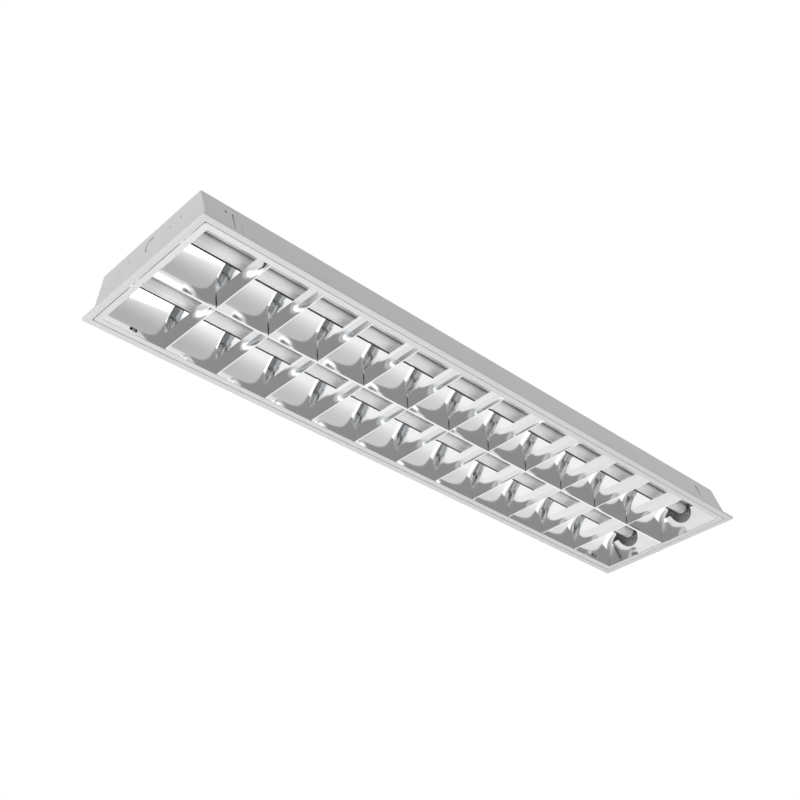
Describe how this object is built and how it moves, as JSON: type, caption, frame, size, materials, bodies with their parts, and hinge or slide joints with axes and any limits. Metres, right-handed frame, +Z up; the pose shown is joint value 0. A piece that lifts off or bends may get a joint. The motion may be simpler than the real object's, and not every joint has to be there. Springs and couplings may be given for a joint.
{
  "type": "recessed troffer light",
  "caption": "Recessed ceiling troffer: a white steel tray with a grid flange, a hinged mirror louvre of V-shaped blades and two tube lamps in twist holders.",
  "frame": {"origin": "centre of the flange's underside, the face that lies on the ceiling grid", "axes": "+X along the length, +Y across the width away from the hinged side, +Z up into the ceiling"},
  "size_m": [1.245, 0.3076, 0.075],
  "materials": {
    "white_paint": "white powder coat, fine orange peel",
    "satin_lip": "satin anodised sheet",
    "mirror_sheet": "bright anodised reflector sheet",
    "frosted_tube": "phosphor-coated tube, off",
    "cap_aluminium": "plain aluminium",
    "pin_brass": "plated brass",
    "rotor_plastic": "moulded",
    "holder_plastic": "moulded polycarbonate",
    "ballast_can": "coated steel can",
    "zinc_steel": "zinc plated",
    "bracket_steel": "galvanised sheet",
    "catch_plastic": "grey moulded slide",
    "terminal_plastic": "moulded",
    "grommet_rubber": "moulded rubber",
    "wire_sleeve": "white PVC sleeve",
    "clip_plastic": "moulded nylon"
  },
  "bodies": {
    "housing": {"ballast": "ballast_can", "ballast_screws": "zinc_steel", "cable_grommet": "grommet_rubber", "earth_stud": "zinc_steel", "end_plate_left": "white_paint", "end_plate_right": "white_paint", "flange_far": "white_paint", "flange_left": "white_paint", "flange_near": "white_paint", "flange_right": "white_paint", "hinge_bracket_left": "bracket_steel", "hinge_bracket_right": "bracket_steel", "keeper_left": "bracket_steel", "keeper_right": "bracket_steel", "lamp_holder_left_far": "holder_plastic", "lamp_holder_left_near": "holder_plastic", "lamp_holder_right_far": "holder_plastic", "lamp_holder_right_near": "holder_plastic", "rivets": "cap_aluminium", "terminal_block": "terminal_plastic", "tray_side_far": "white_paint", "tray_side_near": "white_paint", "tray_top": "white_paint", "wire_clips": "clip_plastic", "wiring": "wire_sleeve"},
    "louvre": {"catch_guide_left": "bracket_steel", "catch_guide_right": "bracket_steel", "centre_reflector": "mirror_sheet", "cross_blade_01": "mirror_sheet", "cross_blade_02": "mirror_sheet", "cross_blade_03": "mirror_sheet", "cross_blade_04": "mirror_sheet", "cross_blade_05": "mirror_sheet", "cross_blade_06": "mirror_sheet", "cross_blade_07": "mirror_sheet", "cross_blade_08": "mirror_sheet", "cross_blade_09": "mirror_sheet", "cross_blade_10": "mirror_sheet", "cross_blade_11": "mirror_sheet", "end_reflector_left": "mirror_sheet", "end_reflector_right": "mirror_sheet", "hinge_pins": "zinc_steel", "louvre_frame": "satin_lip", "side_reflector_far": "mirror_sheet", "side_reflector_near": "mirror_sheet"},
    "left_catch": {"catch_left": "catch_plastic"},
    "right_catch": {"catch_right": "catch_plastic"},
    "near_lamp": {"lamp_caps_near": "cap_aluminium", "lamp_pins_near": "pin_brass", "lamp_tube_near": "frosted_tube", "rotors_near": "rotor_plastic"},
    "far_lamp": {"lamp_caps_far": "cap_aluminium", "lamp_pins_far": "pin_brass", "lamp_tube_far": "frosted_tube", "rotors_far": "rotor_plastic"}
  },
  "joints": [
    {"name": "louvre_swing", "type": "hinge", "parent": "housing", "child": "louvre", "pos_m": [0, -0.13335, 0.0038], "axis": [-1, 0, 0], "range_deg": [0, 90]},
    {"name": "left_catch_slide", "type": "slide", "parent": "louvre", "child": "left_catch", "axis": [-1, 0, 0], "range_m": [0, 0.004]},
    {"name": "right_catch_slide", "type": "slide", "parent": "louvre", "child": "right_catch", "axis": [1, 0, 0], "range_m": [0, 0.004]},
    {"name": "near_lamp_twist", "type": "hinge", "parent": "housing", "child": "near_lamp", "pos_m": [0, -0.065, 0.0513], "axis": [1, 0, 0], "range_deg": [0, 90]},
    {"name": "far_lamp_twist", "type": "hinge", "parent": "housing", "child": "far_lamp", "pos_m": [0, 0.065, 0.0513], "axis": [1, 0, 0], "range_deg": [0, 90]}
  ]
}
